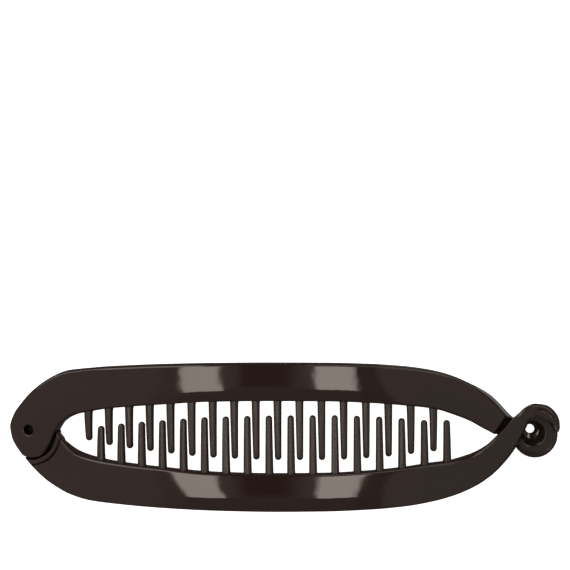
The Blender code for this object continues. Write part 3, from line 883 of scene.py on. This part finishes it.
def tooth_path(x, side, own_edge, far_edge, tip_gap):
    """The middle line of one tooth: its points, and at each of them the path's columns."""
    tip = far_edge + side * tip_gap
    length = (own_edge - tip) * side
    tip_radius = TOOTH_TIP_WIDTH / 2
    straight = length - tip_radius
    shaft = straight - TOOTH_FLARE_LENGTH
    stops = [-TOOTH_ROOT_INSIDE_BAND, -TOOTH_ROOT_INSIDE_BAND / 2]
    stops += [TOOTH_FLARE_LENGTH * i / FLARE_STEPS for i in range(FLARE_STEPS + 1)]
    stops += [TOOTH_FLARE_LENGTH + shaft * i / SHAFT_STEPS for i in range(1, SHAFT_STEPS + 1)]
    for i in range(1, DOME_STEPS + 1):
        turn = math.pi / 2 * i / DOME_STEPS
        stops.append(straight + tip_radius * min(math.sin(turn), DOME_REACH))
    rows = []
    for stop in stops:
        reach = min(max(stop / length, 0.0), 1.0)
        flare = TOOTH_FLARE * min(max(1 - stop / TOOTH_FLARE_LENGTH, 0.0), 1.0) ** 2
        width = TOOTH_ROOT_WIDTH + (TOOTH_TIP_WIDTH - TOOTH_ROOT_WIDTH) * reach + flare
        thickness = TOOTH_THICKNESS * width / TOOTH_ROOT_WIDTH
        n = -TOOTH_RECESS - TOOTH_DROOP * reach ** 2 - thickness / 2
        point = on_arch(x, own_edge - side * stop, n)
        rows.append((point, (stop * MM, (length - stop) * MM, side * math.atan(face_lean(x)))))
    return rows


def teeth(name, side, own, far, tree, material):
    """The teeth of one arm, from its paths and the shared tree, as one plain mesh."""
    first = FIRST_UPPER_TOOTH_X if side > 0 else FIRST_UPPER_TOOTH_X + LOWER_TOOTH_OFFSET
    points, edges, columns = [], [], []
    for k in range(TEETH_PER_ARM):
        x = first + k * TOOTH_PITCH
        tip_gap = TIP_GAP_AT_HINGE + (TIP_GAP_AT_CLASP - TIP_GAP_AT_HINGE) * k / (TEETH_PER_ARM - 1)
        rows = tooth_path(x, side, own.inner_edge(x), far.inner_edge(min(x, LAST_TIP_X)), tip_gap)
        edges += [(len(points) + i, len(points) + i + 1) for i in range(len(rows) - 1)]
        for (x, y, z), values in rows:
            points.append(((x - CENTRE_X) * MM, y * MM, z * MM))
            columns.append(values)
    mesh = bpy.data.meshes.new(name)
    mesh.from_pydata(points, edges, [])
    for column, values in zip(PATH_COLUMNS, zip(*columns)):
        mesh.attributes.new(column, "FLOAT", "POINT").data.foreach_set("value", values)
    comb = bpy.data.objects.new(name, mesh)
    bpy.context.scene.collection.objects.link(comb)
    modifier = comb.modifiers.new("teeth", "NODES")
    modifier.node_group = tree
    sizes = {
        "Root Width": TOOTH_ROOT_WIDTH * MM,
        "Tip Width": TOOTH_TIP_WIDTH * MM,
        "Thickness": TOOTH_THICKNESS * MM,
        "Edge Radius": TOOTH_EDGE_RADIUS * MM,
        "Flare": TOOTH_FLARE * MM,
        "Flare Length": TOOTH_FLARE_LENGTH * MM,
        "Material": material,
    }
    for socket in tree.interface.items_tree:
        if socket.name in sizes:
            modifier[socket.identifier] = sizes[socket.name]
    evaluated = comb.evaluated_get(bpy.context.evaluated_depsgraph_get())
    comb.data = bpy.data.meshes.new_from_object(evaluated)
    comb.modifiers.clear()
    for column in PATH_COLUMNS:
        if column in comb.data.attributes:
            comb.data.attributes.remove(comb.data.attributes[column])
    return comb


# Materials

def linear(code):
    """An sRGB hex colour as linear RGBA."""
    channels = [int(code[i:i + 2], 16) / 255 for i in (1, 3, 5)]
    return tuple(c / 12.92 if c <= 0.04045 else ((c + 0.055) / 1.055) ** 2.4 for c in channels) + (1.0,)


def moulded_plastic(name, finish):
    """Injection-moulded plastic: one dark, even colour, with a gloss as good as the mould's.
    Faint flow marks run along the arms, the gloss varies a little where hands have touched it,
    and the skin has the very shallow waviness of cooled plastic. Where the mould was milled and
    not polished, as for the teeth, fine lines run across the clip."""
    material = bpy.data.materials.new(name)
    material.use_nodes = True
    tree = material.node_tree
    shader = tree.nodes["Principled BSDF"]
    shader.inputs["IOR"].default_value = PLASTIC_IOR
    shader.inputs["Metallic"].default_value = 0.0
    shader.inputs["Specular IOR Level"].default_value = finish.specular
    place = add_node(tree, "ShaderNodeTexCoord").outputs["Object"]

    flow_scale = (1 / (FLOW_MARK_LENGTH * MM), 1 / (FLOW_MARK_WIDTH * MM), 1 / (FLOW_MARK_WIDTH * MM))
    along = add_node(tree, "ShaderNodeMapping", None, {"Vector": place, "Scale": flow_scale})
    flow = add_node(tree, "ShaderNodeTexNoise", None, {
        "Vector": along, "Scale": 1.0, "Detail": 3.0, "Roughness": 0.5,
    })
    colour = add_node(tree, "ShaderNodeMix", {"data_type": "RGBA"},
                      {"Factor": flow, 6: linear(finish.dark), 7: linear(finish.light)})
    tree.links.new(colour.outputs[2], shader.inputs["Base Color"])

    haze = add_node(tree, "ShaderNodeTexNoise", None, {
        "Vector": place, "Scale": 1 / (HAZE_PATCH * MM), "Detail": 4.0, "Roughness": 0.55,
    })
    gloss = add_node(tree, "ShaderNodeMapRange", None, {
        "Value": haze, "From Min": 0.3, "From Max": 0.7,
        "To Min": finish.smoothest, "To Max": finish.roughest,
    })
    tree.links.new(gloss.outputs["Result"], shader.inputs["Roughness"])

    waves = add_node(tree, "ShaderNodeTexNoise", None, {
        "Vector": place, "Scale": SKIN_WAVES_PER_METRE, "Detail": 1.0, "Roughness": 0.4,
    })
    # A wave texture of scale 1 has bands 2 pi / 20 apart
    lines = add_node(tree, "ShaderNodeTexWave", {"wave_type": "BANDS", "bands_direction": "X"}, {
        "Vector": place, "Scale": 2 * math.pi / (20 * MILLING_LINE_SPACING * MM), "Distortion": 0.0,
    })
    skin = add_node(tree, "ShaderNodeMath", {"operation": "MULTIPLY_ADD"},
                    {0: lines.outputs["Fac"], 1: finish.line_depth, 2: waves})
    bump = add_node(tree, "ShaderNodeBump", None,
                    {"Height": skin, "Strength": 1.0, "Distance": SKIN_WAVE_DEPTH * MM})
    tree.links.new(bump.outputs["Normal"], shader.inputs["Normal"])
    return material


# The studio

def place_camera():
    """A long lens above the clip, leaning towards the clasp and the upper arm."""
    lean = Vector((math.tan(math.radians(CAMERA_TOWARDS_CLASP)),
                   math.tan(math.radians(CAMERA_TOWARDS_UPPER_ARM)), 1.0)).normalized()
    level_right = (-lean).cross(Vector((0.0, 1.0, 0.0))).normalized()
    level_up = level_right.cross(-lean)
    roll = math.radians(CAMERA_ROLL)
    right = math.cos(roll) * level_right + math.sin(roll) * level_up
    up = -math.sin(roll) * level_right + math.cos(roll) * level_up
    forward = (-FOCAL_PIXELS * lean + TARGET_LEFT_OF_CENTRE * right
               + TARGET_BELOW_CENTRE * up).normalized()
    right = forward.cross(up).normalized()
    up = right.cross(forward)
    data = bpy.data.cameras.new("camera")
    data.sensor_width = SENSOR_WIDTH
    data.lens = SENSOR_WIDTH * FOCAL_PIXELS / PICTURE_WIDTH
    data.clip_start = 0.01
    data.clip_end = 20.0
    camera = bpy.data.objects.new("camera", data)
    place = (Vector(CAMERA_TARGET) + lean * CAMERA_DISTANCE) * MM
    axes = Matrix((right, up, -forward)).transposed().to_4x4()
    camera.matrix_world = Matrix.Translation(place) @ axes
    bpy.context.scene.collection.objects.link(camera)
    bpy.context.scene.camera = camera


def fade_out(data, share):
    """Makes a light's face fade out over a share of its width at either side."""
    data.use_nodes = True
    tree = data.node_tree
    across = add_node(tree, "ShaderNodeSeparateXYZ", None, {
        "Vector": add_node(tree, "ShaderNodeNewGeometry").outputs["Parametric"],
    })
    middle = add_node(tree, "ShaderNodeMath", {"operation": "SUBTRACT"},
                      {0: across.outputs["X"], 1: 0.5})
    offset = add_node(tree, "ShaderNodeMath", {"operation": "ABSOLUTE"}, {0: middle})
    strength = add_node(tree, "ShaderNodeMapRange", {"interpolation_type": "SMOOTHSTEP"},
                        {"Value": offset, "From Min": 0.5, "From Max": 0.5 - share})
    tree.links.new(strength.outputs["Result"], tree.nodes["Emission"].inputs["Strength"])


def softbox(box):
    """A rectangular light that faces the top of the clip."""
    data = bpy.data.lights.new(box.name, "AREA")
    data.shape = "RECTANGLE"
    data.size = box.width
    data.size_y = box.length
    data.energy = box.radiance * math.pi * box.width * box.length
    data.color = box.colour
    if box.soft_edge:
        fade_out(data, box.soft_edge)
    light = bpy.data.objects.new(box.name, data)
    away = Vector(box.towards).normalized()
    place = Vector((0.0, 0.0, ARCH_TOP * MM)) + away * box.distance
    across = (Vector((1.0, 0.0, 0.0)) - away * away.x).normalized()
    axes = Matrix((across, away.cross(across), away)).transposed().to_4x4()
    light.matrix_world = Matrix.Translation(place) @ axes
    bpy.context.scene.collection.objects.link(light)
    return light


def sky():
    """The dim studio around the clip, darker overhead where the camera stands."""
    world = bpy.data.worlds.new("studio")
    world.use_nodes = True
    bpy.context.scene.world = world
    tree = world.node_tree
    towards = add_node(tree, "ShaderNodeSeparateXYZ", None, {
        "Vector": add_node(tree, "ShaderNodeTexCoord").outputs["Generated"],
    }).outputs
    darkness = 0.0
    for stretch in (Darkness(*row) for row in SKY_DARKNESS):
        share = stretch.depth
        for axis, edge in (("X", stretch.left), ("X", stretch.right), ("Y", stretch.near)):
            if edge:
                inside = add_node(tree, "ShaderNodeMapRange", {"interpolation_type": "SMOOTHSTEP"}, {
                    "Value": towards[axis], "From Min": edge[0], "From Max": edge[1],
                })
                share = add_node(tree, "ShaderNodeMath", {"operation": "MULTIPLY"},
                                 {0: inside, 1: share})
        darkness = add_node(tree, "ShaderNodeMath", {"operation": "MAXIMUM"}, {0: share, 1: darkness})
    above = add_node(tree, "ShaderNodeMapRange", {"interpolation_type": "SMOOTHSTEP"}, {
        "Value": towards["Z"], "From Min": SKY_HORIZON[0], "From Max": SKY_HORIZON[1],
    })
    light = add_node(tree, "ShaderNodeMath", {"operation": "SUBTRACT"}, {0: 1.0, 1: darkness})
    bright = add_node(tree, "ShaderNodeMath", {"operation": "MULTIPLY"}, {0: above, 1: light})
    brightness = add_node(tree, "ShaderNodeMapRange", None, {
        "Value": bright, "To Min": SKY_BRIGHTNESS[0], "To Max": SKY_BRIGHTNESS[1],
    })
    change = add_node(tree, "ShaderNodeMapRange", {"interpolation_type": "SMOOTHSTEP"}, {
        "Value": towards["X"], "From Min": SKY_COLOUR_CHANGE[0], "From Max": SKY_COLOUR_CHANGE[1],
    })
    colour = add_node(tree, "ShaderNodeMix", {"data_type": "RGBA"},
                      {"Factor": change, 6: SKY_COLOURS[0], 7: SKY_COLOURS[1]})
    background = tree.nodes["Background"]
    tree.links.new(colour.outputs[2], background.inputs["Color"])
    tree.links.new(brightness.outputs["Result"], background.inputs["Strength"])


def reflection_card(card):
    """A small level card of even brightness, which only mirror-like reflections show."""
    bpy.ops.mesh.primitive_plane_add(size=1.0, location=Vector(card.middle) * MM)
    sheet = bpy.context.active_object
    sheet.name = card.name
    sheet.rotation_euler.z = math.radians(card.turn)
    sheet.scale = (card.size[0] * MM, card.size[1] * MM, 1.0)
    sheet.visible_camera = False
    sheet.visible_diffuse = False
    paper = bpy.data.materials.new(card.name + "_paper")
    paper.use_nodes = True
    shader = paper.node_tree.nodes["Principled BSDF"]
    shader.inputs["Base Color"].default_value = (0.0, 0.0, 0.0, 1.0)
    shader.inputs["Specular IOR Level"].default_value = 0.0
    shader.inputs["Emission Color"].default_value = CARD_COLOUR
    shader.inputs["Emission Strength"].default_value = card.brightness
    sheet.data.materials.append(paper)


def light_table():
    """A white acrylic table, lit softly from within, so that hardly a shadow shows on it."""
    bpy.ops.mesh.primitive_plane_add(size=FLOOR_SIZE, location=(0.0, 0.0, 0.0))
    floor = bpy.context.active_object
    floor.name = "floor"
    floor.visible_glossy = False
    acrylic = bpy.data.materials.new("white_opal_acrylic")
    acrylic.use_nodes = True
    shader = acrylic.node_tree.nodes["Principled BSDF"]
    shader.inputs["Base Color"].default_value = linear("#f4f4f4")
    shader.inputs["Roughness"].default_value = 0.9
    shader.inputs["Specular IOR Level"].default_value = 0.0
    shader.inputs["Emission Color"].default_value = (1.0, 1.0, 1.0, 1.0)
    shader.inputs["Emission Strength"].default_value = FLOOR_GLOW
    floor.data.materials.append(acrylic)


def studio():
    """Two narrow softboxes overhead, four beyond the clip, a broad fill, and small cards."""
    bpy.context.scene.view_settings.view_transform = "Standard"
    for row in SOFTBOXES:
        softbox(Softbox(*row))
    for row in REFLECTION_CARDS:
        reflection_card(Card(*row))
    fill = softbox(Softbox(*BROAD_FILL))
    fill.visible_glossy = False
    sky()
    light_table()


def dress():
    """Makes every piece, gives it its material, and seats it on its body."""
    polished = moulded_plastic("moulded_styrene_brown", POLISHED_STYRENE)
    matt = moulded_plastic("moulded_styrene_unpolished", UNPOLISHED_STYRENE)
    # The pin's near-black, dull finish is partly painted shade in the pin hole.
    black = moulded_plastic("black_pin_painted_shade", BLACK_PIN_WITH_PAINTED_SHADE)
    upper = Arm(LUG_RIBS + BAND_RIBS + UPPER_END_RIBS, 1, LUG_BOTTOM, 0.0)
    lower = Arm(TONGUE_RIBS + BAND_RIBS + LOWER_END_RIBS + hook_ribs(), -1, 0.0, CAP_BOTTOM)
    tree = tooth_tree()
    pieces = (
        (upper_band(upper), "upper_arm", "upper_comb", polished),
        (clasp_ring(), "upper_arm", "upper_comb", polished),
        (teeth("upper_teeth", 1, upper, lower, tree, matt), "upper_arm", "upper_comb", matt),
        (lower_band(lower), "lower_arm", "lower_comb", polished),
        (teeth("lower_teeth", -1, lower, upper, tree, matt), "lower_arm", "lower_comb", matt),
        (pin(), "lower_arm", "hinge_pin", black),
    )
    for piece, body, node, material in pieces:
        finish_shading(piece)
        piece.data.materials.clear()
        piece.data.materials.append(material)
        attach(piece, body)
        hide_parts(node)


place_camera()
studio()
dress()
